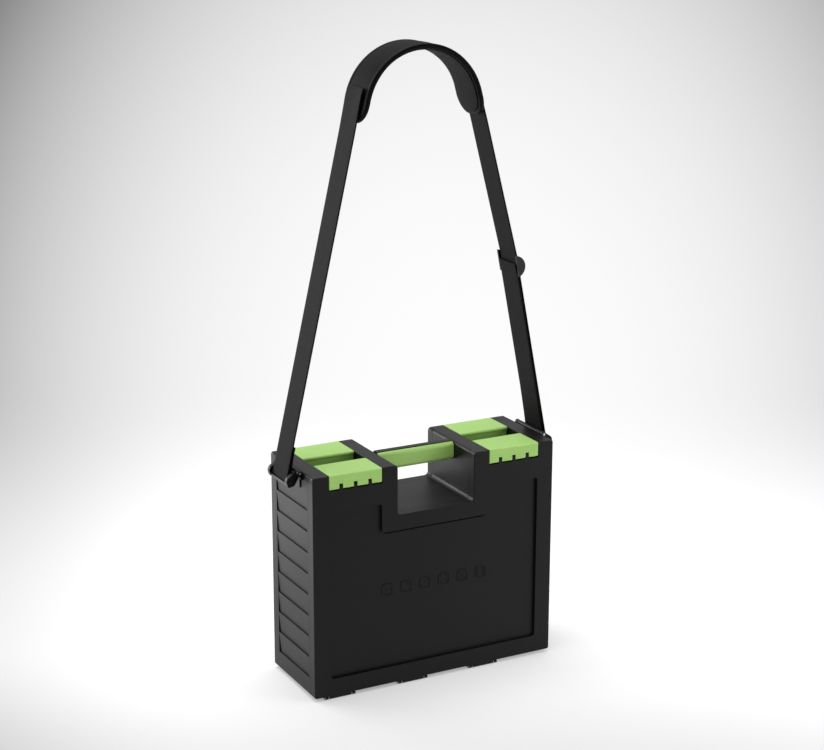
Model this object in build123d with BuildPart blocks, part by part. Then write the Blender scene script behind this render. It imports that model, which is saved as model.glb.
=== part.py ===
from build123d import *
from math import acos, atan2, cos, hypot, pi, sin
import os

os.makedirs("parts", exist_ok=True)

# Board game storage case. Millimetres, X to the right, Y to the back, Z up.
# The origin is on the floor under the middle of the case.

# Small values shared by all pieces: a cut's run past a face, and the reach of an edge pick
over = 1.0
pick = 0.1
hole_clear = 0.2

# Case
case_w = 330.0
case_h = 280.0
case_d = 120.0
foot_h = 4.0
lid_d = 13.0
seam = 0.3
wall = 3.0
side_wall = 4.5
corner_r = 3.0
top_edge_r = 0.6
rim_r = 1.2

# Notch for the hand in the middle of the top
notch_half = 52.3
notch_drop = 63.0
notch_floor_r = 5.0
notch_lip_r = 4.5

# Latches, four alike
latch_side = 56.4
latch_w = 69.0
latch_gap = 0.4
latch_reach = 45.5
latch_flap_h = 18.0
latch_flap_t = 5.0
latch_top_t = 4.5
latch_lip = 2.3
latch_leg_t = 3.0
latch_leg_rise = 1.0
latch_cheek_t = 2.5
latch_edge_r = 1.2
pocket_drop = 22.0
catch_w = 2.5
catch_gap = 0.5
catch_clear = 0.3
tooth_pitch = 19.1
tooth_gap_w = 5.0
tooth_gap_h = 7.0
latch_pin_r = 1.2
latch_pin_inset = 2.6
knuckle_gap = 0.3
flap_gap = 1.0

# Bottom hinges, three under each lid
hinge_pitch = 99.6
hinge_shift = -31.0
hinge_axis_inset = 2.0
hinge_axis_z = 2.0
hinge_pin_r = 0.9
hinge_run = 0.05
lid_knuckle_l = 29.0
ear_w = 4.0
ear_gap = 1.5
ear_root = 8.0
lid_knuckle_relief = 0.15
ear_relief = 0.4

# Panel recess on each lid
panel_side = 22.0
panel_base = 22.0
panel_top = 45.5
panel_bridge_half = 73.9
panel_bridge_drop = 82.5
panel_deep = 4.0
panel_r = 3.5

# Raised dice emblem on the front panel
dice_size = 15.0
dice_pitch = 26.0
dice_count = 6
dice_z = 122.0
dice_raise = 0.6
dice_line = 1.1
dice_r = 3.0
pip_r = 1.15
pip_pitch = 3.9

# Louvres on both sides
louvre_count = 9
louvre_pitch = 26.6
louvre_base = 23.0
louvre_deep = 1.6
louvre_half = 44.0

# Divider between the front and the rear half
divider_t = 2.5
divider_fit = 0.3
divider_rail_w = 2.0
divider_rail_h = 3.0

# Handle
grip_half = 9.0
grip_h = 22.6
grip_r = 5.0
grip_below_top = 0.7
core_half = 4.0
core_drop = 18.0
core_proud = 0.3
core_fit = 0.15
screw_r = 1.6
screw_head_r = 3.0
screw_head_h = 2.0
screw_pitch = 7.0
screw_drop = 11.0
screw_len = 12.0

# Strap fittings on the sides
strap_w = 40.0
strap_t = 1.8
bar_r = 1.2
bar_out = 12.2
bar_drop = 11.0
bar_wrap_gap = 0.25
rim_bar_r = 2.2
rim_bar_out = 2.9
rim_bar_drop = 4.85
barrel_out = 3.5
barrel_drop = 0.9
barrel_r = 3.0
loop_half = 28.0
arm_w = 6.0
boss_r = 6.3
boss_cap_r = 4.2
boss_cap_h = 0.8
lug_w = 5.0
lug_gap = 0.3
loop_pin_r = 1.5
pin_run = 0.05
anchor_t = 1.6
anchor_h = 15.0
anchor_half = 27.0
anchor_strip_h = 4.0
anchor_drop = 5.0
anchor_screw_half = 14.0
anchor_screw_r = 1.5
anchor_screw_head_r = 2.8
anchor_screw_head_h = 1.4
anchor_screw_len = 8.0

# Strap and shoulder pad
pad_r = 79.5
pad_rise = 414.0
pad_t = 8.4
pad_edge_t = 5.6
pad_w = 58.0
pad_tip_rise = 403.0
pad_tip_r = 24.0
liner_t = 1.5
liner_edge_t = 1.2
liner_w = 49.0
liner_inset = 4.0
layer_gap = 0.7
soft_gap = 0.3
tab_rise = 12.5
tab_down = 40.0
kink_in = 32.9
kink_rise = 228.5
flex_rise = 42.0
flex_cut = 0.2
layer_pinch = 25.0
layer_step = 3.4

# Slider on the right half of the strap
slider_below_kink = 12.0
slider_h = 27.0
slider_rail_gap = 0.7
slider_rail_w = 2.4
slider_bulge = 8.0
slider_chord = 3.0
slider_bar_r = 1.8
slider_core_r = 0.8
slider_bar_up = 6.5
slider_run = 0.3
slider_bar_end = 0.5

top_z = foot_h + case_h
half_w = case_w / 2
half_d = case_d / 2
body_half = half_d - lid_d - seam
room_half = half_w - side_wall
bay_in = notch_half + wall
floor_z = foot_h + wall
notch_z = top_z - notch_drop
pocket_z = top_z - pocket_drop
pocket_half = latch_w / 2 + latch_gap
flap_z = top_z - latch_flap_h
shelf_z = flap_z - flap_gap
leg_z = flap_z + latch_leg_rise
pin_z = flap_z + latch_pin_inset
hinge_y = half_d - hinge_axis_inset
ear_r = hinge_axis_z
hinge_xs = [hinge_shift + hinge_pitch * k for k in (-1, 0, 1)]
bar_x = half_w + bar_out
bar_z = top_z - bar_drop
barrel_x = half_w + barrel_out
barrel_z = top_z - barrel_drop
anchor_top = top_z - anchor_drop
anchor_mid = anchor_top - anchor_h / 2
handle_mid_z = top_z - screw_drop
latch_x = half_w - latch_side
pad_cz = top_z + pad_rise
pad_tip_z = top_z + pad_tip_rise
kink_x = half_w - kink_in
kink_z = top_z + kink_rise
flex_z = top_z + flex_rise


def save(part, name):
    part.label = name
    export_step(part, f"parts/{name}.step")


def case_outline(inset=0.0, shelf_drop=0.0):
    """Front view of the case, with the notch and the two latch pockets cut out of its top."""
    with BuildSketch(Plane.XZ) as outline:
        with Locations((0, foot_h + case_h / 2)):
            RectangleRounded(case_w - 2 * inset, case_h - 2 * inset, max(corner_r - inset, pick))
        with Locations((0, top_z)):
            Rectangle(2 * (notch_half + inset), 2 * (notch_drop + inset), mode=Mode.SUBTRACT)
        with Locations((-latch_x, top_z), (latch_x, top_z)):
            Rectangle(2 * (pocket_half + inset), 2 * (shelf_drop + inset), mode=Mode.SUBTRACT)
    return outline.sketch


# Centre body: open to the front and the back, with louvred sides. It is drawn whole here, and then
# parted into the base, the two side panels and the pieces of the top that are joined to make it.
with BuildPart() as centre_body:
    with BuildSketch(Plane.XZ):
        add(case_outline(0, pocket_drop))
    extrude(amount=body_half, both=True)
    floor_line = centre_body.edges().filter_by(Axis.Y).filter_by(
        lambda e: abs(abs(e.center().X) - notch_half) < pick and abs(e.center().Z - notch_z) < pick)
    fillet(floor_line, notch_floor_r)
    lip_line = centre_body.edges().filter_by(Axis.Y).filter_by(
        lambda e: abs(abs(e.center().X) - notch_half) < pick and abs(e.center().Z - top_z) < pick)
    fillet(lip_line, notch_lip_r)
    pocket_line = centre_body.edges().filter_by(Axis.Y).filter_by(
        lambda e: abs(abs(abs(e.center().X) - latch_x) - pocket_half) < pick
        and abs(e.center().Z - top_z) < pick)
    fillet(pocket_line, top_edge_r)
    # rooms inside: the main room, the bays beside the notch and the hollow rails beside the latches
    with BuildSketch(Plane.XZ):
        main_h = notch_z - wall - floor_z
        with Locations((0, floor_z + main_h / 2)):
            Rectangle(2 * room_half, main_h)
        for side in (-1, 1):
            bay_top = pocket_z - wall
            bay_low = notch_z - 2 * wall
            with Locations((side * (bay_in + room_half) / 2, (bay_low + bay_top) / 2)):
                Rectangle(room_half - bay_in, bay_top - bay_low)
            rail_edges = ((bay_in, latch_x - pocket_half - wall),
                          (latch_x + pocket_half + wall, room_half))
            for near, far in rail_edges:
                rail_low = bay_top - wall
                rail_top = top_z - wall
                with Locations((side * (near + far) / 2, (rail_low + rail_top) / 2)):
                    Rectangle(far - near, rail_top - rail_low)
    extrude(amount=body_half, both=True, mode=Mode.SUBTRACT)
    # rails that hold the divider, on the floor of the room and under the notch
    for rail_half, z in ((room_half, floor_z + divider_rail_h / 2),
                         (bay_in, notch_z - wall - divider_rail_h / 2)):
        for side in (-1, 1):
            y = side * (divider_t / 2 + divider_fit + divider_rail_w / 2)
            with Locations((0, y, z)):
                Box(2 * rail_half, divider_rail_w, divider_rail_h)
    # louvres: each face slopes inwards on its way down and ends on a ledge
    for k in range(louvre_count):
        low = foot_h + louvre_base + k * louvre_pitch
        for side in (-1, 1):
            with BuildSketch(Plane.XZ):
                with BuildLine():
                    Polyline((side * half_w, low), (side * (half_w - louvre_deep), low),
                             (side * half_w, low + louvre_pitch), close=True)
                make_face()
            extrude(amount=louvre_half, both=True, mode=Mode.SUBTRACT)
    # catch rails on the pocket floors, one behind each latch leg
    catch_v = latch_reach - latch_lip - latch_leg_t - catch_gap - catch_w / 2
    catch_h = leg_z - catch_clear - pocket_z
    for side in (-1, 1):
        for face in (-1, 1):
            with Locations((side * latch_x, face * (half_d - catch_v), pocket_z + catch_h / 2)):
                Box(latch_w - 4 * wall, catch_w, catch_h)
    # hinge ears under both long edges
    for face in (-1, 1):
        for hx in hinge_xs:
            for side in (-1, 1):
                ear_x = -face * (hx + side * (lid_knuckle_l / 2 + ear_gap + ear_w / 2))
                with BuildSketch(Plane.YZ.offset(ear_x - ear_w / 2)):
                    with Locations((face * hinge_y, hinge_axis_z)):
                        Circle(ear_r - ear_relief / 2)
                    web_end = body_half - ear_root
                    with Locations((face * (hinge_y + web_end) / 2, (foot_h - ear_relief) / 2)):
                        Rectangle(hinge_y - web_end, foot_h - ear_relief)
                    with Locations((face * (body_half + web_end) / 2, foot_h - ear_relief)):
                        Rectangle(body_half - web_end, 3 * ear_relief)
                    with Locations((face * hinge_y, hinge_axis_z)):
                        Circle(hinge_pin_r + hinge_run, mode=Mode.SUBTRACT)
                extrude(amount=ear_w)
    # screw holes for the handle and the strap anchors
    for side in (-1, 1):
        with Locations(Plane.YZ.offset(side * notch_half)):
            with Locations((0, handle_mid_z - screw_pitch / 2), (0, handle_mid_z + screw_pitch / 2)):
                Cylinder(screw_r + hole_clear, 4 * wall, mode=Mode.SUBTRACT)
        with Locations(Plane.YZ.offset(side * half_w)):
            with Locations((-anchor_screw_half, anchor_mid), (anchor_screw_half, anchor_mid)):
                Cylinder(anchor_screw_r + hole_clear, 4 * wall, mode=Mode.SUBTRACT)

with BuildPart() as base:
    add(centre_body.part)
    split_z = floor_z + divider_rail_h
    with Locations((0, 0, split_z / 2)):
        Box(2 * room_half, case_d, split_z, mode=Mode.INTERSECT)
save(base.part, "base")

# the top is the frame of the notch, and on each side a shelf under the latches and an outer rail
shelf_near = latch_x - pocket_half
shelf_far = latch_x + pocket_half
with BuildPart() as notch_frame:
    add(centre_body.part)
    with Locations((0, 0, (split_z + top_z) / 2)):
        Box(2 * shelf_near, case_d, top_z - split_z, mode=Mode.INTERSECT)
save(notch_frame.part, "notch_frame")

for side, side_name in ((-1, "left"), (1, "right")):
    for near, far, piece in ((shelf_near, shelf_far, "latch_shelf"), (shelf_far, room_half, "outer_rail")):
        with BuildPart() as top_piece:
            add(centre_body.part)
            with Locations((side * (near + far) / 2, 0, (split_z + top_z) / 2)):
                Box(far - near, case_d, top_z - split_z, mode=Mode.INTERSECT)
        save(top_piece.part, f"{piece}_{side_name}")
    with BuildPart() as side_panel:
        add(centre_body.part)
        with Locations((side * (room_half + half_w) / 2, 0, top_z / 2)):
            Box(side_wall, case_d, top_z, mode=Mode.INTERSECT)
    save(side_panel.part, f"side_panel_{side_name}")


def lid_panel_sketch(grow=0.0):
    """Front view of the sunk panel, which follows the notch along its top."""
    low = foot_h + panel_base
    high = top_z - panel_top
    bridge = top_z - panel_bridge_drop
    with BuildSketch(Plane.XZ) as panel:
        with Locations((0, (low + high) / 2)):
            Rectangle(2 * (half_w - panel_side + grow), high - low + 2 * grow)
        with Locations((0, bridge - grow + notch_drop)):
            Rectangle(2 * (panel_bridge_half - grow), 2 * notch_drop, mode=Mode.SUBTRACT)
        fillet(panel.vertices(), panel_r)
    return panel.sketch


def lid_shell():
    """A lid as it sits on the front of the case: a shallow tray, hinged along its lower edge."""
    inner_y = body_half + seam
    tray_deep = lid_d - panel_deep - wall
    with BuildPart() as lid:
        with BuildSketch(Plane.XZ.offset(inner_y)):
            add(case_outline(0, top_z - shelf_z))
        extrude(amount=lid_d)
        floor_line = lid.edges().filter_by(Axis.Y).filter_by(
            lambda e: abs(abs(e.center().X) - notch_half) < pick and abs(e.center().Z - notch_z) < pick)
        fillet(floor_line, notch_floor_r)
        lip_line = lid.edges().filter_by(Axis.Y).filter_by(
            lambda e: abs(abs(e.center().X) - notch_half) < pick and abs(e.center().Z - top_z) < pick)
        fillet(lip_line, notch_lip_r)
        fillet(lid.faces().sort_by(Axis.Y)[0].outer_wire().edges(), rim_r)
        with BuildSketch(Plane.XZ.offset(half_d)):
            add(lid_panel_sketch())
        extrude(amount=-panel_deep, mode=Mode.SUBTRACT)
        # the tray behind, deeper behind the frame than behind the panel
        with BuildSketch(Plane.XZ.offset(inner_y)):
            add(case_outline(wall, top_z - shelf_z))
        extrude(amount=tray_deep, mode=Mode.SUBTRACT)
        with BuildSketch(Plane.XZ.offset(inner_y)):
            add(case_outline(wall, top_z - shelf_z))
            add(lid_panel_sketch(wall), mode=Mode.SUBTRACT)
        extrude(amount=lid_d - wall, mode=Mode.SUBTRACT)
        # knuckles that carry the latches
        for side in (-1, 1):
            for k in (-1, 0, 1):
                width = tooth_gap_w - 2 * knuckle_gap
                with BuildSketch(Plane.YZ.offset(side * latch_x + k * tooth_pitch - width / 2)):
                    with Locations((-half_d + latch_pin_inset, pin_z)):
                        Circle(latch_pin_inset - knuckle_gap)
                    neck_in = latch_flap_t
                    with Locations((-half_d + (neck_in + knuckle_gap) / 2, (pin_z + shelf_z - over) / 2)):
                        Rectangle(neck_in - knuckle_gap, pin_z - shelf_z + over)
                    with Locations((-half_d + latch_pin_inset, pin_z)):
                        Circle(latch_pin_r + pin_run, mode=Mode.SUBTRACT)
                extrude(amount=width)
        # knuckles on the lower edge
        for hx in hinge_xs:
            with BuildSketch(Plane.YZ.offset(hx - lid_knuckle_l / 2)):
                knuckle_r = ear_r - lid_knuckle_relief
                with Locations((-hinge_y, hinge_axis_z)):
                    Circle(knuckle_r)
                with Locations((-hinge_y, (hinge_axis_z + foot_h + over) / 2)):
                    Rectangle(2 * knuckle_r, foot_h + over - hinge_axis_z)
                with Locations((-hinge_y, hinge_axis_z)):
                    Circle(hinge_pin_r + hinge_run, mode=Mode.SUBTRACT)
            extrude(amount=lid_knuckle_l)
    return lid.part


def pips(count):
    """Places of the pips on one die face, on a three by three grid."""
    p = pip_pitch
    corners = [(-p, -p), (p, p)]
    others = [(-p, p), (p, -p)]
    sides = [(-p, 0), (p, 0)]
    middle = [(0, 0)] if count % 2 else []
    return middle + (corners if count > 1 else []) + (others if count > 3 else []) + (
        sides if count > 5 else [])


# Front lid, with a plain row of dice faces standing up from its panel
plain_lid = lid_shell()
with BuildPart() as front_lid:
    add(plain_lid)
    for k in range(dice_count):
        die_x = (k - (dice_count - 1) / 2) * dice_pitch
        with BuildSketch(Plane.XZ.offset(half_d - panel_deep)):
            with Locations((die_x, foot_h + dice_z)):
                RectangleRounded(dice_size, dice_size, dice_r)
                inside = dice_size - 2 * dice_line
                RectangleRounded(inside, inside, dice_r - dice_line, mode=Mode.SUBTRACT)
            with Locations(*[(die_x + px, foot_h + dice_z + pz) for px, pz in pips(k + 1)]):
                Circle(pip_r)
        extrude(amount=dice_raise)
save(front_lid.part, "front_lid")

# Rear lid, the same tray turned half a turn
with BuildPart() as rear_lid:
    add(plain_lid, rotation=(0, 0, 180))
save(rear_lid.part, "rear_lid")

# Latches: levers hinged at the foot of their front flap, which reach back to the finger groove
for face, face_name in ((-1, "front"), (1, "rear")):
    for side, side_name in ((-1, "left"), (1, "right")):
        mid_x = side * latch_x
        name = f"latch_{face_name}_{side_name}"
        low_x = mid_x - latch_w / 2

        def at(v, z):
            """Point at a depth behind the case's face, on the side view."""
            return (face * (half_d - v), z)

        leg_out = latch_reach - latch_lip
        leg_in = leg_out - latch_leg_t
        under = top_z - latch_top_t
        with BuildPart() as latch:
            with BuildSketch(Plane.YZ.offset(low_x)):
                with BuildLine():
                    Polyline(at(0, flap_z), at(0, top_z), at(latch_reach, top_z), at(latch_reach, under),
                             at(leg_out, under), at(leg_out, leg_z), at(leg_in, leg_z), at(leg_in, under),
                             at(latch_flap_t, under), at(latch_flap_t, flap_z), close=True)
                make_face()
            extrude(amount=latch_w)
            # closed ends between the flap and the leg
            for end in (-1, 1):
                with BuildSketch(Plane.YZ.offset(mid_x + end * (latch_w - latch_cheek_t) / 2
                                                 - latch_cheek_t / 2)):
                    with BuildLine():
                        Polyline(at(latch_flap_t - over, under + over), at(leg_in + over, under + over),
                                 at(leg_in + over, leg_z), at(latch_flap_t - over, leg_z + latch_lip),
                                 close=True)
                    make_face()
                extrude(amount=latch_cheek_t)
            outer = latch.edges().filter_by(Axis.X)
            lip_edges = outer.filter_by(lambda e: abs(abs(e.center().Y) - half_d + latch_reach) < pick)
            fillet(lip_edges, latch_top_t / 2 - 2 * pick)
            front_edge = latch.edges().filter_by(Axis.X).filter_by(
                lambda e: abs(abs(e.center().Y) - half_d) < pick and abs(e.center().Z - top_z) < pick)
            fillet(front_edge, latch_edge_r)
            foot_edge = latch.edges().filter_by(Axis.X).filter_by(
                lambda e: abs(abs(e.center().Y) - half_d) < pick and abs(e.center().Z - flap_z) < pick)
            fillet(foot_edge, latch_pin_inset - knuckle_gap)
            # gaps between the teeth, where the lid's knuckles stand
            with Locations(*[(mid_x + k * tooth_pitch, face * (half_d - latch_flap_t / 2),
                              flap_z + tooth_gap_h / 2) for k in (-1, 0, 1)]):
                Box(tooth_gap_w, latch_flap_t + over, tooth_gap_h, mode=Mode.SUBTRACT)
            with BuildSketch(Plane.YZ.offset(low_x)):
                with Locations(at(latch_pin_inset, pin_z)):
                    Circle(latch_pin_r + pin_run)
            extrude(amount=latch_w, mode=Mode.SUBTRACT)
        save(latch.part, name)
        with BuildPart() as latch_pin:
            with BuildSketch(Plane.YZ.offset(low_x + latch_edge_r)):
                with Locations(at(latch_pin_inset, pin_z)):
                    Circle(latch_pin_r)
            extrude(amount=latch_w - 2 * latch_edge_r)
        save(latch_pin.part, f"latch_pin_{face_name}_{side_name}")

# Pins of the bottom hinges
for face, face_name in ((-1, "front"), (1, "rear")):
    pin_l = lid_knuckle_l + 2 * (ear_gap + ear_w)
    with BuildPart() as hinge_pins:
        for hx in hinge_xs:
            with BuildSketch(Plane.YZ.offset(-face * hx - pin_l / 2)):
                with Locations((face * hinge_y, hinge_axis_z)):
                    Circle(hinge_pin_r)
            extrude(amount=pin_l)
    save(hinge_pins.part, f"hinge_pins_{face_name}")

# Divider across the middle of the case
with BuildPart() as divider_panel:
    with BuildSketch(Plane.XZ):
        reach = room_half - divider_fit
        low = floor_z + divider_fit
        bay_z = notch_z - wall - divider_fit
        with Locations((0, (low + bay_z) / 2)):
            Rectangle(2 * reach, bay_z - low)
        for side in (-1, 1):
            near = bay_in + divider_fit
            high = bay_top - divider_fit
            with Locations((side * (near + reach) / 2, (bay_z - wall + high) / 2)):
                Rectangle(reach - near, high - bay_z + wall)
    extrude(amount=divider_t / 2, both=True)
save(divider_panel.part, "divider_panel")

# Handle: a core between the notch walls, and a grip around it that leaves the core's spine open
with BuildPart() as handle_core:
    core_h = core_drop + core_proud
    with Locations((0, 0, top_z + core_proud - core_h / 2)):
        Box(2 * notch_half, 2 * core_half, core_h)
    for side in (-1, 1):
        with Locations(Plane.YZ.offset(side * (notch_half - screw_len / 2))):
            with Locations((0, handle_mid_z - screw_pitch / 2), (0, handle_mid_z + screw_pitch / 2)):
                Cylinder(screw_r + pin_run, screw_len + 2 * hole_clear, mode=Mode.SUBTRACT)
save(handle_core.part, "handle_core")

with BuildPart() as handle_grip:
    grip_top = top_z - grip_below_top
    with BuildSketch(Plane.YZ.offset(-notch_half + divider_fit)):
        with Locations((0, grip_top - grip_h / 2)):
            RectangleRounded(2 * grip_half, grip_h, grip_r)
        with Locations((0, top_z - core_drop - core_fit + grip_h / 2)):
            Rectangle(2 * (core_half + core_fit), grip_h, mode=Mode.SUBTRACT)
    extrude(amount=2 * (notch_half - divider_fit))
save(handle_grip.part, "handle_grip")

with BuildPart() as handle_screws:
    for side in (-1, 1):
        for step in (-1, 1):
            screw_z = handle_mid_z + step * screw_pitch / 2
            shank_l = screw_len + wall - lug_gap
            with Locations(Plane.YZ.offset(side * (bay_in - shank_l / 2))):
                with Locations((0, screw_z)):
                    Cylinder(screw_r, shank_l)
            with Locations(Plane.YZ.offset(side * (bay_in + screw_head_h / 2))):
                with Locations((0, screw_z)):
                    Cylinder(screw_head_r, screw_head_h)
save(handle_screws.part, "handle_screws")

# Strap fittings: an anchor plate with two lugs, a pin, and a loop whose thin bar holds the webbing,
# with a thicker rim bar below and outside the webbing's fold
for side, side_name in ((-1, "left"), (1, "right")):
    lug_in = loop_half + lug_gap
    lug_out = lug_in + lug_w
    strip_low = anchor_top - anchor_strip_h
    rim_at = (side * (bar_x + rim_bar_out), bar_z - rim_bar_drop)
    with BuildPart() as anchor:
        with Locations((side * (half_w + anchor_t / 2), 0, anchor_mid)):
            Box(anchor_t, 2 * anchor_half, anchor_h)
        with Locations((side * (half_w + anchor_t / 2), 0, anchor_top - anchor_strip_h / 2)):
            Box(anchor_t, 2 * lug_out, anchor_strip_h)
        for end in (-1, 1):
            with BuildSketch(Plane.XZ.offset(-end * lug_in)):
                with BuildLine():
                    Polyline((side * half_w, strip_low), (side * half_w, anchor_top),
                             (side * (half_w + anchor_t), anchor_top),
                             (side * (half_w + anchor_t), strip_low), close=True)
                make_face()
                with Locations((side * barrel_x, barrel_z)):
                    Circle(barrel_r)
                make_hull()
                with Locations((side * barrel_x, barrel_z)):
                    Circle(loop_pin_r + pin_run, mode=Mode.SUBTRACT)
            extrude(amount=-end * lug_w)
        with Locations(Plane.YZ.offset(side * (half_w + anchor_t / 2))):
            with Locations((-anchor_screw_half, anchor_mid), (anchor_screw_half, anchor_mid)):
                Cylinder(anchor_screw_r + pin_run, 2 * anchor_t, mode=Mode.SUBTRACT)
    save(anchor.part, f"strap_anchor_{side_name}")

    with BuildPart() as anchor_screws:
        for end in (-1, 1):
            with Locations(Plane.YZ.offset(side * (half_w + anchor_t - anchor_screw_len / 2))):
                with Locations((end * anchor_screw_half, anchor_mid)):
                    Cylinder(anchor_screw_r, anchor_screw_len)
            with Locations(Plane.YZ.offset(side * (half_w + anchor_t + anchor_screw_head_h / 2))):
                with Locations((end * anchor_screw_half, anchor_mid)):
                    Cylinder(anchor_screw_head_r, anchor_screw_head_h)
    save(anchor_screws.part, f"anchor_screws_{side_name}")

    with BuildPart() as loop:
        with BuildSketch(Plane.XZ.offset(loop_half)):
            with Locations((side * barrel_x, barrel_z)):
                Circle(barrel_r)
        extrude(amount=-2 * loop_half)
        with BuildSketch(Plane.XZ.offset(loop_half)):
            with Locations((side * bar_x, bar_z)):
                Circle(bar_r)
            with Locations(rim_at):
                Circle(rim_bar_r)
        extrude(amount=-2 * loop_half)
        for end in (-1, 1):
            with BuildSketch(Plane.XZ.offset(-end * loop_half)):
                with Locations((side * barrel_x, barrel_z)):
                    Circle(barrel_r)
                with Locations((side * bar_x, bar_z)):
                    Circle(boss_r)
                with Locations(rim_at):
                    Circle(rim_bar_r)
                make_hull()
            extrude(amount=end * arm_w)
            with BuildSketch(Plane.XZ.offset(-end * loop_half)):
                with Locations((side * bar_x, bar_z)):
                    Circle(boss_cap_r)
            extrude(amount=-end * boss_cap_h)
        with BuildSketch(Plane.XZ.offset(loop_half + over)):
            with Locations((side * barrel_x, barrel_z)):
                Circle(loop_pin_r + pin_run)
        extrude(amount=-2 * (loop_half + over), mode=Mode.SUBTRACT)
    save(loop.part, f"strap_loop_{side_name}")

    with BuildPart() as loop_pin:
        with BuildSketch(Plane.XZ.offset(lug_out)):
            with Locations((side * barrel_x, barrel_z)):
                Circle(loop_pin_r)
        extrude(amount=-2 * lug_out)
    save(loop_pin.part, f"loop_pin_{side_name}")

# Strap: two lengths of webbing that run from the fittings up to the shoulder pad.
# Its line lies in the XZ plane: straight runs that touch the pad's round top.
wrap_r = bar_r + bar_wrap_gap + strap_t / 2
web_r = pad_r + soft_gap + strap_t / 2
pad_mid_r = pad_r - pad_t / 2
liner_mid_r = pad_r - pad_t - soft_gap - liner_t / 2


def touch(side, x, z, radius):
    """Angle, seen from the pad's centre, at which a line from (x, z) touches the round top."""
    away = hypot(x, z - pad_cz)
    return atan2(z - pad_cz, x) + side * acos(radius / away)


def on_arc(angle, radius):
    return (radius * cos(angle), pad_cz + radius * sin(angle))


def off_run(start, end, dist, shift=0.0):
    """Point at a distance along a straight run, shifted to the left of its direction."""
    length = hypot(end[0] - start[0], end[1] - start[1])
    ux, uz = (end[0] - start[0]) / length, (end[1] - start[1]) / length
    return (start[0] + ux * dist - uz * shift, start[1] + uz * dist + ux * shift)


left_foot = (-(bar_x + wrap_r), bar_z)
right_foot = (bar_x + wrap_r, bar_z)
kink = (kink_x, kink_z)
left_angle = touch(-1, *left_foot, web_r)
right_angle = touch(1, *kink, web_r)
left_touch = on_arc(left_angle, web_r)
right_touch = on_arc(right_angle, web_r)
tab_turn = tab_rise / web_r
layer_near = strap_t + layer_gap
wrap_low = bar_z - wrap_r


def ribbon_face():
    """Turns the centre line in the current BuildLine into the outline of the webbing's edge."""
    offset(amount=strap_t / 2)


with BuildPart() as strap_left_webbing:
    with BuildSketch(Plane.XZ):
        with BuildLine():
            Line(left_foot, left_touch)
            ThreePointArc(left_touch, on_arc(left_angle - tab_turn / 2, web_r),
                          on_arc(left_angle - tab_turn, web_r))
            ribbon_face()
        make_face()
    extrude(amount=strap_w / 2, both=True)
    split(bisect_by=Plane.XY.offset(flex_z + flex_cut / 2), keep=Keep.TOP)
save(strap_left_webbing.part, "strap_left_webbing")

with BuildPart() as strap_left_end:
    with BuildSketch(Plane.XZ):
        with BuildLine():
            Polyline(off_run(left_foot, left_touch, tab_down, -layer_near),
                     off_run(left_foot, left_touch, layer_pinch, -layer_near),
                     (-(bar_x - wrap_r), bar_z))
            ThreePointArc((-(bar_x - wrap_r), bar_z), (-bar_x, wrap_low), left_foot)
            Line(left_foot, left_touch)
            ribbon_face()
        make_face()
    extrude(amount=strap_w / 2, both=True)
    split(bisect_by=Plane.XY.offset(flex_z - flex_cut / 2), keep=Keep.BOTTOM)
save(strap_left_end.part, "strap_left_end")

with BuildPart() as strap_right_webbing:
    with BuildSketch(Plane.XZ):
        with BuildLine():
            Polyline(right_foot, kink, right_touch)
            ThreePointArc(right_touch, on_arc(right_angle + tab_turn / 2, web_r),
                          on_arc(right_angle + tab_turn, web_r))
            ribbon_face()
        make_face()
    extrude(amount=strap_w / 2, both=True)
    split(bisect_by=Plane.XY.offset(flex_z + flex_cut / 2), keep=Keep.TOP)
save(strap_right_webbing.part, "strap_right_webbing")

slider_at = hypot(kink[0] - right_foot[0], kink[1] - right_foot[1]) - slider_below_kink
core_wrap_r = slider_core_r + slider_run + strap_t / 2
core_shift = strap_t / 2 + slider_run + slider_core_r
pinch_point = off_run(right_foot, kink, layer_pinch, layer_step)
inner_low = off_run(right_foot, kink, slider_at - slider_h / 2, layer_near)
inner_high = off_run(right_foot, kink, slider_at, core_shift + core_wrap_r)
wrap_bend = core_wrap_r * cos(pi / 4)
wrap_side = off_run(right_foot, kink, slider_at + wrap_bend, core_shift + wrap_bend)
wrap_top = off_run(right_foot, kink, slider_at + core_wrap_r, core_shift)

with BuildPart() as strap_right_end:
    with BuildSketch(Plane.XZ):
        with BuildLine():
            Polyline(inner_low, pinch_point, (bar_x - wrap_r, bar_z))
            ThreePointArc((bar_x - wrap_r, bar_z), (bar_x, wrap_low), right_foot)
            Line(right_foot, off_run(right_foot, kink, slider_at))
            ribbon_face()
        make_face()
    extrude(amount=strap_w / 2, both=True)
    split(bisect_by=Plane.XY.offset(flex_z - flex_cut / 2), keep=Keep.BOTTOM)
save(strap_right_end.part, "strap_right_end")

with BuildPart() as strap_right_return:
    with BuildSketch(Plane.XZ):
        with BuildLine():
            Polyline(pinch_point, inner_low, inner_high)
            ThreePointArc(inner_high, wrap_side, wrap_top)
            ribbon_face()
        make_face()
    extrude(amount=strap_w / 2, both=True)
    split(bisect_by=Plane.XY.offset(flex_z + flex_cut / 2), keep=Keep.TOP)
save(strap_right_return.part, "strap_right_return")

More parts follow.
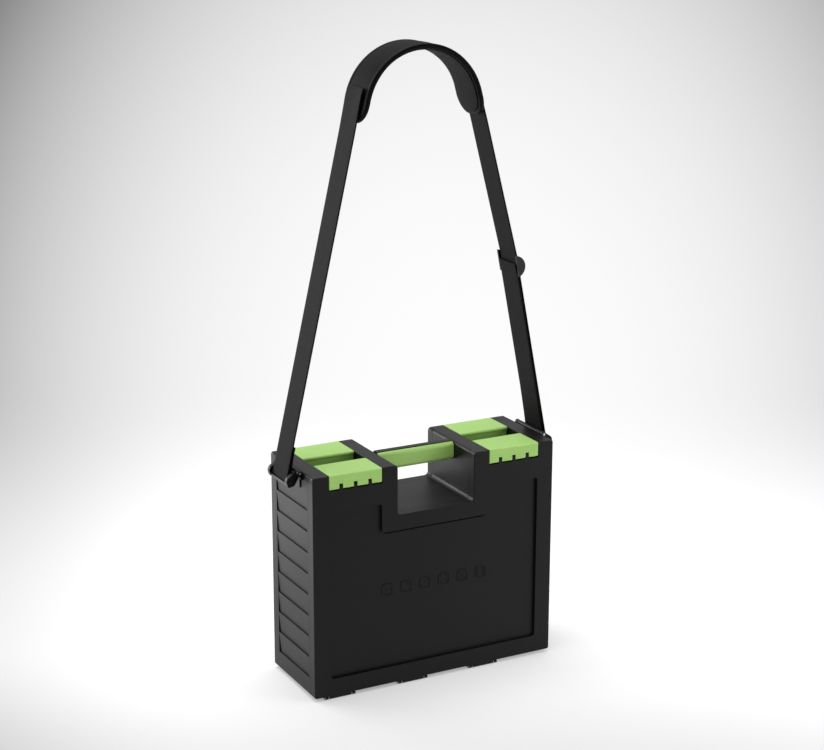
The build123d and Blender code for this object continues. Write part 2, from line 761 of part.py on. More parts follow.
# Slider: two half-round rails beside the webbing, joined by two bars outside it and one inside it
slider_mid = off_run(right_foot, kink, slider_at)
run_dir = (kink[0] - right_foot[0], 0, kink[1] - right_foot[1])
slider_plane = Plane(origin=(slider_mid[0], 0, slider_mid[1]), x_dir=run_dir, z_dir=(0, -1, 0))
slider_w = strap_w + 2 * (slider_rail_gap + slider_rail_w)
with BuildPart() as strap_slider:
    for low in (-slider_w / 2, slider_w / 2 - slider_rail_w):
        with BuildSketch(slider_plane.offset(low)):
            with BuildLine():
                chord_low = (-slider_h / 2, slider_chord)
                chord_high = (slider_h / 2, slider_chord)
                ThreePointArc(chord_low, (0, -slider_bulge), chord_high)
                Line(chord_high, chord_low)
            make_face()
        extrude(amount=slider_rail_w)
    with BuildSketch(slider_plane.offset(-slider_w / 2 + slider_bar_end)):
        bar_shift = -(strap_t / 2 + slider_run + slider_bar_r)
        with Locations((-slider_bar_up, bar_shift), (slider_bar_up, bar_shift)):
            Circle(slider_bar_r)
        with Locations((0, core_shift)):
            Circle(slider_core_r)
    extrude(amount=slider_w - 2 * slider_bar_end)
save(strap_slider.part, "strap_slider")


def pad_body(mid_r, thick, edge_thick, width, tip_z, tip_r):
    """A crowned strip that goes over the round top and down both runs, with rounded tongues."""
    start = on_arc(left_angle, mid_r)
    finish = on_arc(right_angle, mid_r)
    left_dir = (left_touch[0] - left_foot[0], left_touch[1] - left_foot[1])
    right_dir = (right_touch[0] - kink[0], right_touch[1] - kink[1])
    reach_l = (start[1] - tip_z) / left_dir[1]
    reach_r = (finish[1] - tip_z) / right_dir[1]
    tip_l = (start[0] - left_dir[0] * reach_l, start[1] - left_dir[1] * reach_l)
    tip_r_end = (finish[0] - right_dir[0] * reach_r, finish[1] - right_dir[1] * reach_r)
    with BuildPart() as body:
        with BuildLine(Plane.XZ) as path:
            Line(tip_l, start)
            ThreePointArc(start, on_arc(pi / 2, mid_r), finish)
            Line(finish, tip_r_end)
        section_plane = Plane(origin=(tip_l[0], 0, tip_l[1]), x_dir=(0, 1, 0),
                              z_dir=(left_dir[0], 0, left_dir[1]))
        with BuildSketch(section_plane):
            with BuildLine():
                corner = (width / 2, edge_thick / 2)
                ThreePointArc((-corner[0], corner[1]), (0, thick / 2), corner)
                ThreePointArc(corner, (width / 2 + edge_thick / 4, 0), (corner[0], -corner[1]))
                ThreePointArc((corner[0], -corner[1]), (0, -thick / 2), (-corner[0], -corner[1]))
                ThreePointArc((-corner[0], -corner[1]), (-width / 2 - edge_thick / 4, 0),
                              (-corner[0], corner[1]))
            make_face()
        sweep(path=path.wire())
        with BuildSketch(Plane.YZ):
            tall = 2 * (pad_cz + pad_r - tip_z)
            with Locations((0, tip_z + tall / 2)):
                RectangleRounded(width + edge_thick, tall, tip_r)
        extrude(amount=half_w, both=True, mode=Mode.INTERSECT)
    return body.part


with BuildPart() as shoulder_pad:
    add(pad_body(pad_mid_r, pad_t, pad_edge_t, pad_w - pad_edge_t / 2, pad_tip_z, pad_tip_r))
save(shoulder_pad.part, "shoulder_pad")

with BuildPart() as pad_liner:
    add(pad_body(liner_mid_r, liner_t, liner_edge_t, liner_w, pad_tip_z + liner_inset,
                 pad_tip_r - liner_inset))
save(pad_liner.part, "pad_liner")
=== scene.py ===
import bpy
import bmesh
from math import acos, atan2, cos, hypot, pi, radians, sin, sqrt
from mathutils import Matrix, Vector


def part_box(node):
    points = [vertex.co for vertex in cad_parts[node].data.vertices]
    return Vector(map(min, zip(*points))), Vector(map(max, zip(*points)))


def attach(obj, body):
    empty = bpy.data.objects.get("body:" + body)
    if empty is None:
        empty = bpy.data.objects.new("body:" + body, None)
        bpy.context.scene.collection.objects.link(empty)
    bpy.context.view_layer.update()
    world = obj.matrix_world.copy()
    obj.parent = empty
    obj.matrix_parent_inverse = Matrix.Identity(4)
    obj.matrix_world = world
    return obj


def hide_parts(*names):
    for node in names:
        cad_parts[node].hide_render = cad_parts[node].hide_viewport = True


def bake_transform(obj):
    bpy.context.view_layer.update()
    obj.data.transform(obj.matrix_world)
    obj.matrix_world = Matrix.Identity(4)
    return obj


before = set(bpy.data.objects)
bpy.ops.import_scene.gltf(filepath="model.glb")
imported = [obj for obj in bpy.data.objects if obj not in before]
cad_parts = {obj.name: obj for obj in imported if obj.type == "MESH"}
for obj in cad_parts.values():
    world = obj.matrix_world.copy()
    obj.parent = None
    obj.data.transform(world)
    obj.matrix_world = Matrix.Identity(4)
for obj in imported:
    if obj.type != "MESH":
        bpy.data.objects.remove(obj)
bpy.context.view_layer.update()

mm = 0.001

# Places that the frame gives
panel_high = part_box("side_panel_right")[1]
lid_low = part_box("front_lid")[0]
pad_low, pad_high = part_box("shoulder_pad")
top_z = panel_high.z
half_w = panel_high.x
half_d = -lid_low.y

# Strap, in the same sizes as its solids
strap_w = 40 * mm
strap_t = 1.8 * mm
bar_r = 1.2 * mm
bar_wrap_gap = 0.25 * mm
bar_x = half_w + 12.2 * mm
bar_z = top_z - 11 * mm
wrap_r = bar_r + bar_wrap_gap + strap_t / 2
pad_r = 79.5 * mm
pad_t = 8.4 * mm
pad_edge_t = 5.6 * mm
pad_cz = pad_high.z - pad_r
soft_gap = 0.3 * mm
web_r = pad_r + soft_gap + strap_t / 2
layer_near = strap_t + 0.7 * mm
tab_rise = 12.5 * mm
tab_down = 40 * mm
layer_pinch = 25 * mm
layer_step = 3.4 * mm
kink = (132.1 * mm, 512.5 * mm)
slider_below_kink = 12 * mm
slider_core_r = 0.8 * mm
slider_run = 0.3 * mm
slider_h = 27 * mm
flex_high = 330 * mm
cut_above = 4 * mm

# Strap, in sizes that only its cloth has
edge_round = 0.42
drape_length = 40 * mm
drape_share = 0.5
bar_pace = 0.6 * mm
layer_pace = 2 * mm
tail_steps = 8


# Shader maths
class Wire:
    """The output of a node. Sums, products and so on of it and numbers add Math nodes."""

    def __init__(self, paint, socket):
        self.paint = paint
        self.socket = socket

    def maths(self, operation, first, second=None):
        inputs = {0: first}
        if second is not None:
            inputs[1] = second
        return self.paint.node("Math", {"operation": operation}, inputs)

    def __add__(self, other):
        return self.maths("ADD", self, other)

    def __radd__(self, other):
        return self.maths("ADD", other, self)

    def __sub__(self, other):
        return self.maths("SUBTRACT", self, other)

    def __rsub__(self, other):
        return self.maths("SUBTRACT", other, self)

    def __mul__(self, other):
        return self.maths("MULTIPLY", self, other)

    def __rmul__(self, other):
        return self.maths("MULTIPLY", other, self)

    def __pow__(self, other):
        return self.maths("POWER", self, other)

    def sin(self):
        return self.maths("SINE", self)

    def abs(self):
        return self.maths("ABSOLUTE", self)

    def fract(self):
        return self.maths("FRACT", self)

    def least(self, other):
        return self.maths("MINIMUM", self, other)

    def most(self, other):
        return self.maths("MAXIMUM", self, other)

    def step(self, low, high):
        """0 below low and 1 above high, smooth in between."""
        return self.paint.node("MapRange", {"interpolation_type": "SMOOTHSTEP"},
                               {0: self, 1: low, 2: high, 3: 0.0, 4: 1.0})


class Paint:
    """A material or world that is built up node by node."""

    def __init__(self, owner, output="ShaderNodeOutputMaterial"):
        self.owner = owner
        owner.use_nodes = True
        self.tree = owner.node_tree
        self.tree.nodes.clear()
        self.output = self.tree.nodes.new(output)

    def node(self, kind, settings=None, inputs=None, out=0):
        """Adds a node, sets it, joins its inputs, and gives back one of its outputs."""
        made = self.tree.nodes.new("ShaderNode" + kind)
        for key, value in (settings or {}).items():
            setattr(made, key, value)
        for key, value in (inputs or {}).items():
            if isinstance(value, Wire):
                self.tree.links.new(value.socket, made.inputs[key])
            else:
                made.inputs[key].default_value = value
        return Wire(self, made.outputs[out])

    def place(self):
        """Object coordinates, as a vector."""
        return self.node("TexCoord", out="Object")

    def split(self, vector):
        made = self.node("SeparateXYZ", inputs={0: vector})
        return [Wire(self, made.socket.node.outputs[k]) for k in range(3)]

    def noise(self, scale, detail, rough=0.5):
        return self.node("TexNoise", inputs={"Vector": self.place(), "Scale": scale, "Detail": detail,
                                             "Roughness": rough})

    def mix(self, factor, low, high):
        """Colour between low and high."""
        made = self.tree.nodes.new("ShaderNodeMix")
        made.data_type = "RGBA"
        for socket, value in ((made.inputs[0], factor), (made.inputs[6], low), (made.inputs[7], high)):
            if isinstance(value, Wire):
                self.tree.links.new(value.socket, socket)
            else:
                socket.default_value = value
        return Wire(self, made.outputs[2])

    def bump(self, height, distance):
        return self.node("Bump", inputs={"Height": height, "Distance": distance, "Strength": 1.0})

    def end(self, shader):
        """Ends the tree in a shader, and gives back what it belongs to."""
        self.tree.links.new(shader.socket, self.output.inputs["Surface"])
        return self.owner

    def surface(self, **inputs):
        """Ends the material in a Principled shader; an underscore in a name stands for a space."""
        sockets = {key.replace("_", " "): value for key, value in inputs.items()}
        return self.end(self.node("BsdfPrincipled", inputs=sockets))


def new_paint(name):
    return Paint(bpy.data.materials.new(name))


def grey(level):
    return (level, level, level, 1.0)


def moulded(name, colour, light, roughness, grain=0.035 * mm, specular=0.35):
    """Moulded plastic: fine grain, slow changes of tone, and a painted highlight that makes the edges a
    little lighter in patches.
    """
    edge_w, edge_top_w, edge_full = 1.3 * mm, 1.4 * mm, 0.1 * mm
    p = new_paint(name)
    x, y, z = p.split(p.place())
    cloud = p.noise(14, 3)
    fine = p.noise(1900, 2, 0.6)
    # Noise that breaks the painted edge highlight into patches
    highlight_patches = p.noise(60, 4, 0.65)
    # Painted highlight: the colour is lighter near the case's top, face and side edges
    near_top = z.step(top_z - edge_top_w, top_z - edge_full)
    near_face = y.abs().step(half_d - edge_w, half_d - edge_full)
    near_side = x.abs().step(half_w - edge_w, half_w - edge_full)
    edge = (near_top * near_face).most(near_face * near_side).most(near_top * near_side)
    wear_and_highlight = edge * highlight_patches.step(0.35, 0.75)
    tone = (cloud - 0.5) * 0.5 + 0.5 + (fine - 0.5) * 0.35
    base = p.mix(tone.least(1).most(0), colour, light)
    # The painted edge highlight is mixed into the base colour here
    shade = p.mix(wear_and_highlight * 0.55, base, [min(1, c * 1.9 + 0.02) for c in light[:3]] + [1.0])
    rough = roughness + (cloud - 0.5) * 0.10 + (fine - 0.5) * 0.08
    grainy = p.bump(fine, grain)
    return p.surface(Base_Color=shade, Roughness=rough, Normal=grainy, Specular_IOR_Level=specular)


def cloth_uv(p):
    """Across and along the piece, in metres, from its own UV map."""
    across, along, _ = p.split(p.node("TexCoord", out="UV"))
    return across, along


def woven(name, dark, light, rib=2.0 * mm, pick=1.1 * mm, deep=0.16 * mm, roughness=0.72):
    """Webbing: ribs along its length, each crossed by slanting threads that turn at every rib."""
    p = new_paint(name)
    across, along = cloth_uv(p)
    column = across * (1 / rib)
    slant = (column.fract() - 0.5).abs() * 1.3
    thread = ((along * (1 / pick) + slant).fract() * pi).sin()
    ridge = (column.fract() * pi).sin() ** 0.6
    height = ridge * 0.55 + thread * 0.45
    wear_and_highlight = p.noise(55, 3)
    fuzz = p.noise(2600, 2)
    tone = height * 0.7 + (wear_and_highlight - 0.5) * 0.5 + (fuzz - 0.5) * 0.4
    base = p.mix(tone.least(1).most(0), dark, light)
    rough = roughness + (fuzz - 0.5) * 0.2 - height * 0.08
    return p.surface(Base_Color=base, Roughness=rough, Normal=p.bump(height + fuzz * 0.25, deep),
                     Specular_IOR_Level=0.07, Sheen_Weight=0.008, Sheen_Roughness=0.5)


def knit(name, dark, light, deep=0.05 * mm, roughness=0.62):
    """Close cover cloth: tiny threads and soft, slow changes of tone."""
    p = new_paint(name)
    x, y, z = p.split(p.place())
    threads = ((y * 3200).sin() * ((x + z) * 2600).sin()).abs()
    cloud = p.noise(22, 3)
    fuzz = p.noise(1500, 2)
    tone = threads * 0.25 + cloud * 0.55 + (fuzz - 0.5) * 0.5
    base = p.mix(tone.least(1).most(0), dark, light)
    rough = roughness + (cloud - 0.5) * 0.16
    return p.surface(Base_Color=base, Roughness=rough, Normal=p.bump(threads * 0.5 + fuzz, deep),
                     Specular_IOR_Level=0.06, Sheen_Weight=0.005, Sheen_Roughness=0.45)


def open_mesh(name, dark, light, pitch=2.6 * mm, deep=0.35 * mm):
    """Spacer mesh: staggered rows of round holes in a light net."""
    p = new_paint(name)
    across, along = cloth_uv(p)
    row = along * (2 / pitch)
    shift = (row * 0.5).fract().step(0.49, 0.51) * 0.5
    cell_u = (across * (1 / pitch) + shift).fract() - 0.5
    cell_v = row.fract() - 0.5
    far = (cell_u * cell_u + cell_v * cell_v * 0.35) ** 0.5
    net = far.step(0.18, 0.34)
    fuzz = p.noise(1800, 2)
    base = p.mix((net * 0.85 + (fuzz - 0.5) * 0.3).least(1).most(0), dark, light)
    return p.surface(Base_Color=base, Roughness=0.85 - net * 0.1,
                     Normal=p.bump(net + fuzz * 0.2, deep), Specular_IOR_Level=0.1,
                     Sheen_Weight=0.03, Sheen_Roughness=0.5)


def turned_steel(name):
    """Turned metal: fine changes of tone and finish."""
    p = new_paint(name)
    rings = p.noise(900, 3)
    rough = 0.3 + rings * 0.12
    return p.surface(Base_Color=p.mix(rings, grey(0.42), grey(0.6)), Roughness=rough, Metallic=1.0,
                     Normal=p.bump(rings, 0.01 * mm))


shell_black = moulded("shell_black", grey(0.003), grey(0.0055), 0.42, specular=0.2)
divider_black = moulded("divider_black", grey(0.014), grey(0.02), 0.45)
latch_green = moulded("latch_green", (0.33, 0.57, 0.135, 1), (0.37, 0.62, 0.16, 1), 0.42, 0.02 * mm, 0.4)
fitting_black = moulded("fitting_black", grey(0.0015), grey(0.0025), 0.36, 0.01 * mm, 0.2)
steel = turned_steel("turned_steel")
webbing = woven("webbing", grey(0.0012), grey(0.006))
pad_cover = knit("pad_cover", grey(0.001), grey(0.003))
pad_mesh = open_mesh("pad_mesh", grey(0.002), grey(0.013))
binding_cloth = woven("binding_cloth", grey(0.001), grey(0.003), 1.2 * mm, 0.9 * mm, 0.06 * mm, 0.6)

node_finish = {
    shell_black: ("base", "notch_frame", "latch_shelf_left", "latch_shelf_right", "outer_rail_left",
                  "outer_rail_right", "side_panel_left", "side_panel_right", "front_lid", "rear_lid",
                  "handle_core"),
    divider_black: ("divider_panel",),
    latch_green: ("latch_front_left", "latch_front_right", "latch_rear_left", "latch_rear_right",
                  "handle_grip"),
    fitting_black: ("strap_anchor_left", "strap_anchor_right", "strap_loop_left", "strap_loop_right",
                    "strap_slider"),
    steel: ("latch_pin_front_left", "latch_pin_front_right", "latch_pin_rear_left",
            "latch_pin_rear_right", "hinge_pins_front", "hinge_pins_rear", "handle_screws",
            "anchor_screws_left", "anchor_screws_right", "loop_pin_left", "loop_pin_right"),
}
for finish, names in node_finish.items():
    for name in names:
        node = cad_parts[name]
        node.data.materials.clear()
        node.data.materials.append(finish)

# Small moulded roundings on the rigid nodes, in mm
weld_reach = 0.002 * mm
rounding = {"front_lid": 0.5, "rear_lid": 0.5, "latch_front_left": 0.45,
            "latch_front_right": 0.45, "latch_rear_left": 0.45, "latch_rear_right": 0.45,
            "handle_core": 0.4, "handle_grip": 0.4, "strap_slider": 0.4, "strap_loop_left": 0.4,
            "strap_loop_right": 0.4, "strap_anchor_left": 0.25, "strap_anchor_right": 0.25}
for name, size in rounding.items():
    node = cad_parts[name]
    weld = node.modifiers.new("weld", "WELD")
    weld.merge_threshold = weld_reach
    bevel = node.modifiers.new("rounding", "BEVEL")
    bevel.width = size * mm
    bevel.segments = 2
    bevel.limit_method = "ANGLE"
    bevel.angle_limit = radians(40)
    bevel.use_clamp_overlap = True
    bevel.harden_normals = True


# Lines of the strap and pad, in the XZ plane
def touch_angle(side, point, radius):
    """Angle, seen from the pad's centre, at which a line from the point touches the round top."""
    away = hypot(point[0], point[1] - pad_cz)
    return atan2(point[1] - pad_cz, point[0]) + side * acos(radius / away)


def on_arc(angle, radius):
    return (radius * cos(angle), pad_cz + radius * sin(angle))


def off_run(start, end, dist, shift=0.0):
    """Point at a distance along a straight run, shifted to the left of its direction."""
    length = hypot(end[0] - start[0], end[1] - start[1])
    ux, uz = (end[0] - start[0]) / length, (end[1] - start[1]) / length
    return (start[0] + ux * dist - uz * shift, start[1] + uz * dist + ux * shift)


left_foot = (-(bar_x + wrap_r), bar_z)
right_foot = (bar_x + wrap_r, bar_z)
left_angle = touch_angle(-1, left_foot, web_r) % (2 * pi)
right_angle = touch_angle(1, kink, web_r)
left_touch = on_arc(left_angle, web_r)
right_touch = on_arc(right_angle, web_r)
tab_turn = tab_rise / web_r


def straight(start, end, pace=4 * mm):
    """Points from start up to, and without, end."""
    count = max(1, round(hypot(end[0] - start[0], end[1] - start[1]) / pace))
    return [(start[0] + (end[0] - start[0]) * k / count, start[1] + (end[1] - start[1]) * k / count)
            for k in range(count)]


def arc(centre, radius, start, end, pace=2 * mm):
    """Points along an arc between two angles, without the last."""
    count = max(2, round(abs(end - start) * radius / pace))
    return [(centre[0] + radius * cos(start + (end - start) * k / count),
             centre[1] + radius * sin(start + (end - start) * k / count)) for k in range(count)]


class Run:
    """A line in the XZ plane that is walked by length."""

    def __init__(self, points):
        self.points = points
        self.marks = [0.0]
        for a, b in zip(points, points[1:]):
            self.marks.append(self.marks[-1] + hypot(b[0] - a[0], b[1] - a[1]))
        self.length = self.marks[-1]

    def at(self, dist):
        """Point and leftward normal at a distance along the line, past its ends too."""
        k = 0
        while k < len(self.marks) - 2 and self.marks[k + 1] < dist:
            k += 1
        a, b = self.points[k], self.points[k + 1]
        length = self.marks[k + 1] - self.marks[k]
        ux, uz = (b[0] - a[0]) / length, (b[1] - a[1]) / length
        t = dist - self.marks[k]
        return (a[0] + ux * t, a[1] + uz * t), (-uz, ux)


def finish_piece(name, bm, material, smooth=35):
    """Turns a bmesh into a piece with its material and smooth shading."""
    bmesh.ops.recalc_face_normals(bm, faces=bm.faces)
    data = bpy.data.meshes.new(name)
    bm.to_mesh(data)
    bm.free()
    piece = bpy.data.objects.new(name, data)
    bpy.context.scene.collection.objects.link(piece)
    data.materials.append(material)
    bpy.ops.object.select_all(action="DESELECT")
    piece.select_set(True)
    bpy.context.view_layer.objects.active = piece
    bpy.ops.object.shade_smooth_by_angle(angle=radians(smooth))
    return piece


def corner_outline(half, thick, radius, steps=4):
    """Rounded outline of a strap's end: (across, out) points, once round."""
    points = []
    for turn, (sx, sy) in enumerate(((1, 1), (-1, 1), (-1, -1), (1, -1))):
        for k in range(steps + 1):
            angle = (turn + k / steps) * pi / 2
            points.append((sx * (half - radius) + radius * cos(angle),
                           sy * (thick / 2 - radius) + radius * sin(angle)))
    return points


def band(name, points, material, drape=None):
    """A strip of webbing along a line in the XZ plane, with rounded edges and its own UV map.

    drape gives how far a point at a distance along and across is drawn back towards the pad."""
    run = Run(points)
    bm = bmesh.new()
    uv = bm.loops.layers.uv.new("cloth")
    across_steps = 8
    hair = 1e-6
    ring = corner_outline(strap_w / 2, strap_t, strap_t * edge_round)
    # Points across the flat faces, so that the strip can follow a crowned pad
    full = []
    for a, b in zip(ring, ring[1:] + ring[:1]):
        full.append(a)
        if abs(a[0] - b[0]) > strap_w / 2:
            for k in range(1, across_steps):
                full.append((a[0] + (b[0] - a[0]) * k / across_steps, a[1]))
    rows = []
    for index, dist in enumerate(run.marks):
        before = run.at(dist - hair)[1]
        after = run.at(dist + hair)[1]
        nx, nz = before[0] + after[0], before[1] + after[1]
        size = hypot(nx, nz)
        nx, nz = nx / size, nz / size
        px, pz = points[index]
        row = []
        for y, out in full:
            back = drape(dist, y) if drape else 0.0
            row.append(bm.verts.new((px + nx * (out - back), y, pz + nz * (out - back))))
        rows.append((dist, row))
    count = len(full)
    for (d0, r0), (d1, r1) in zip(rows, rows[1:]):
        for k in range(count):
            n = (k + 1) % count
            face = bm.faces.new((r0[k], r0[n], r1[n], r1[k]))
            for loop, (col, dist) in zip(face.loops, ((k, d0), (n, d0), (n, d1), (k, d1))):
                loop[uv].uv = (full[col][0], dist)
    for dist, row in (rows[0], rows[-1]):
        face = bm.faces.new(row)
        for loop, (y, out) in zip(face.loops, full):
            loop[uv].uv = (y, dist + out)
    return finish_piece(name, bm, material)


# Left half of the strap: tab on the pad, long run, turn round the bar, sewn-down inner layer
left_bar = (-bar_x, bar_z)
left_pinch = off_run(left_foot, left_touch, layer_pinch, -layer_near)
left_end = off_run(left_foot, left_touch, tab_down, -layer_near)
left_line = (arc((0, pad_cz), web_r, left_angle - tab_turn, left_angle)
             + straight(left_touch, left_foot)
             + arc(left_bar, wrap_r, pi, 2 * pi, bar_pace)
             + straight((-(bar_x - wrap_r), bar_z), left_pinch)
             + straight(left_pinch, left_end, layer_pace)
             + [left_end])


def tab_drape(dist, y):
    """The strip's sewn end lies down on the crowned pad, and leaves it slowly below."""
    hold = 1 - min(1, max(0, (dist - tab_rise) / drape_length))
    return hold * (pad_t - pad_edge_t) / 2 * (y / (strap_w / 2)) ** 2 * drape_share


left_band = band("strap_left_band", left_line, webbing, drape=tab_drape)
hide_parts("strap_left_webbing", "strap_left_end")
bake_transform(left_band)

# Right half: tab, upper run, kink over the slider, lower run, turn round the bar, return layer
right_bar = (bar_x, bar_z)
slider_at = hypot(kink[0] - right_foot[0], kink[1] - right_foot[1]) - slider_below_kink
core_wrap_r = slider_core_r + slider_run + strap_t / 2
core_shift = strap_t / 2 + slider_run + slider_core_r


def lower(dist, shift=0.0):
    return off_run(right_foot, kink, dist, shift)


def at_height(z, shift):
    """Point of the lower run's shifted line at a height."""
    low, high = lower(0, shift), lower(slider_at, shift)
    return (low[0] + (high[0] - low[0]) * (z - low[1]) / (high[1] - low[1]), z)


cut = at_height(flex_high + cut_above, layer_near)
right_line = (arc((0, pad_cz), web_r, right_angle + tab_turn, right_angle)
              + straight(right_touch, kink)
              + straight(kink, right_foot)
              + arc(right_bar, wrap_r, 0, -pi, bar_pace)
              + straight((bar_x - wrap_r, bar_z), lower(layer_pinch, layer_step), layer_pace)
              + straight(lower(layer_pinch, layer_step), cut)
              + [cut])
right_band = band("strap_right_band", right_line, webbing, drape=tab_drape)
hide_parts("strap_right_webbing", "strap_right_end")
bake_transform(right_band)

# The return layer rises from the webbing to the slider's core bar
rise_at = slider_at - slider_h / 2
core_top = lower(slider_at, core_shift + core_wrap_r)
return_line = (straight(cut, lower(rise_at, layer_near))
               + straight(lower(rise_at, layer_near), core_top, layer_pace)
               + [core_top])
return_band = band("strap_return_layer", return_line, webbing)
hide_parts("strap_right_return")
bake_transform(return_band)

# Its end laps a quarter of the core bar
tail_turns = [k / tail_steps * pi / 2 for k in range(tail_steps + 1)]
tail_line = [lower(slider_at + core_wrap_r * sin(turn), core_shift + core_wrap_r * cos(turn))
             for turn in tail_turns]
tail_band = band("strap_tail", tail_line, webbing)
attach(tail_band, "slider")


# Shoulder pad, laid out flat by length along and width across, then carried onto its line
pad_mid_r = pad_r - pad_t / 2
pad_tip_z = pad_low.z
pad_tip_r = 24 * mm
pad_half = pad_high.y
pad_line_pace = 1 * mm
left_start = on_arc(left_angle, pad_mid_r)
right_start = on_arc(right_angle, pad_mid_r)
left_slope = ((left_touch[0] - left_foot[0]), (left_touch[1] - left_foot[1]))
right_slope = ((right_touch[0] - kink[0]), (right_touch[1] - kink[1]))
left_tip = (left_start[0] - left_slope[0] * (left_start[1] - pad_tip_z) / left_slope[1], pad_tip_z)
right_tip = (right_start[0] - right_slope[0] * (right_start[1] - pad_tip_z) / right_slope[1], pad_tip_z)
pad_line = (straight(left_tip, left_start, pad_line_pace)
            + arc((0, pad_cz), pad_mid_r, left_angle, right_angle, pad_line_pace)
            + straight(right_start, right_tip, pad_line_pace) + [right_tip])
pad_run = Run(pad_line)
pad_length = pad_run.length


def pad_spot(dist, y, out):
    """Place on the pad: out is counted away from the shoulder."""
    (px, pz), (nx, nz) = pad_run.at(dist)
    return Vector((px + nx * out, y, pz + nz * out))


def pad_width(dist, inset):
    """Half width at a distance along, for the outline with rounded tongues."""
    near = min(dist, pad_length - dist) - inset
    round_r = pad_tip_r - inset
    if near >= round_r:
        return pad_half - inset
    near = max(near, 0)
    return pad_half - inset - round_r + sqrt(max(0, round_r ** 2 - (round_r - near) ** 2))


def pad_stations(inset, pace):
    """Distances along the pad, closer together round the tongues."""
    count = 12
    corner = pad_tip_r - inset
    ends = [inset + corner * (1 - cos(k / count * pi / 2)) for k in range(count)]
    middle = round((pad_length - 2 * (inset + corner)) / pace)
    flat = [inset + corner + (pad_length - 2 * (inset + corner)) * k / middle for k in range(middle + 1)]
    return ends + flat + [pad_length - d for d in reversed(ends)]


def pad_sheet(bm, uv, inset, height, columns, pace):
    """One face of the pad as a grid of rows; height gives out for a distance and a share across."""
    rows = []
    for dist in pad_stations(inset, pace):
        width = pad_width(dist, inset)
        row = []
        for k in range(columns + 1):
            share = sin((k / columns - 0.5) * pi)
            share = 0.5 * share + 0.5 * (2 * k / columns - 1)
            row.append((bm.verts.new(pad_spot(dist, width * share, height(dist, share))),
                        (width * share, dist)))
        rows.append(row)
    for r0, r1 in zip(rows, rows[1:]):
        for k in range(columns):
            corners = (r0[k], r0[k + 1], r1[k + 1], r1[k])
            face = bm.faces.new([c[0] for c in corners])
            for loop, c in zip(face.loops, corners):
                loop[uv].uv = c[1]
    return [[v for v, _ in row] for row in rows]


def pad_rim(rows):
    """The outline of a grid, once round."""
    return (rows[0] + [row[-1] for row in rows[1:-1]] + rows[-1][::-1]
            + [row[0] for row in reversed(rows[1:-1])])


def crown(dist, share):
    """0 at the outline and 1 over the middle."""
    near = min(dist, pad_length - dist) / pad_tip_r
    return (1 - share ** 2) ** 0.75 * min(1, max(0, near)) ** 0.5


def join_rims(bm, first, second):
    """Closes the gap between two grids, and gives the places of both rims in the mesh."""
    ring_a, ring_b = pad_rim(first), pad_rim(second)
    for k in range(len(ring_a)):
        n = (k + 1) % len(ring_a)
        bm.faces.new((ring_a[k], ring_a[n], ring_b[n], ring_b[k]))
    bm.verts.index_update()
    return [v.index for v in ring_a + ring_b]


def swell(piece, rim, cap):
    """Lets the cloth of a pad swell under pressure between its sewn rim, by cap at most."""
    pressure, last_frame = 4, 20
    scene = bpy.context.scene
    held = piece.vertex_groups.new(name="held")
    held.add(rim, 1.0, "REPLACE")
    cloth = piece.modifiers.new("swell", "CLOTH")
    cloth.settings.use_pressure = True
    cloth.settings.uniform_pressure_force = pressure
    cloth.settings.effector_weights.gravity = 0
    cloth.settings.vertex_group_mass = "held"
    cloth.point_cache.frame_start = 1
    cloth.point_cache.frame_end = last_frame
    for frame_at in range(1, last_frame + 1):
        scene.frame_set(frame_at)
    shaped = piece.evaluated_get(bpy.context.evaluated_depsgraph_get())
    places = [v.co.copy() for v in shaped.data.vertices]
    piece.modifiers.remove(cloth)
    for v, place in zip(piece.data.vertices, places):
        step = place - v.co
        v.co += step * min(1, cap / max(step.length, 0.001 * mm))
    piece.vertex_groups.remove(held)
    scene.frame_set(1)


# Cover: outer face with the full crown, inner face with half of it
cloth_pace = 3 * mm
cover_inset = 1.2 * mm
cover_columns = 20
cover_swell = 1.2 * mm
inner_crown = 0.5
edge_out = pad_edge_t / 2 - 0.7 * mm
full_out = pad_t / 2 - 0.9 * mm
crown_out = full_out - edge_out
bm = bmesh.new()
uv = bm.loops.layers.uv.new("cloth")
outer = pad_sheet(bm, uv, cover_inset, lambda d, s: edge_out + crown_out * crown(d, s),
                  cover_columns, cloth_pace)
inner = pad_sheet(bm, uv, cover_inset, lambda d, s: -edge_out - crown_out * inner_crown * crown(d, s),
                  cover_columns, cloth_pace)
rim_marks = join_rims(bm, outer, inner)
pad = finish_piece("shoulder_pad_cover", bm, pad_cover, 60)
swell(pad, rim_marks, cover_swell)
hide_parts("shoulder_pad")
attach(pad, "strap")

# Liner on the shoulder side
liner_inset = 5 * mm
liner_columns = 16
liner_swell = 0.5 * mm
liner_crown = 0.9 * mm
liner_t = 1.0 * mm
liner_out = -(pad_t / 2 + 0.2 * mm)
bm = bmesh.new()
uv = bm.loops.layers.uv.new("cloth")
face_rows = pad_sheet(bm, uv, liner_inset, lambda d, s: liner_out - liner_crown * (1 - s ** 4),
                      liner_columns, cloth_pace)
back_rows = pad_sheet(bm, uv, liner_inset, lambda d, s: liner_out + liner_t, liner_columns, cloth_pace)
rim_marks = join_rims(bm, face_rows, back_rows)
liner = finish_piece("pad_mesh_liner", bm, pad_mesh, 60)
swell(liner, rim_marks, liner_swell)
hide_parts("pad_liner")
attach(liner, "strap")


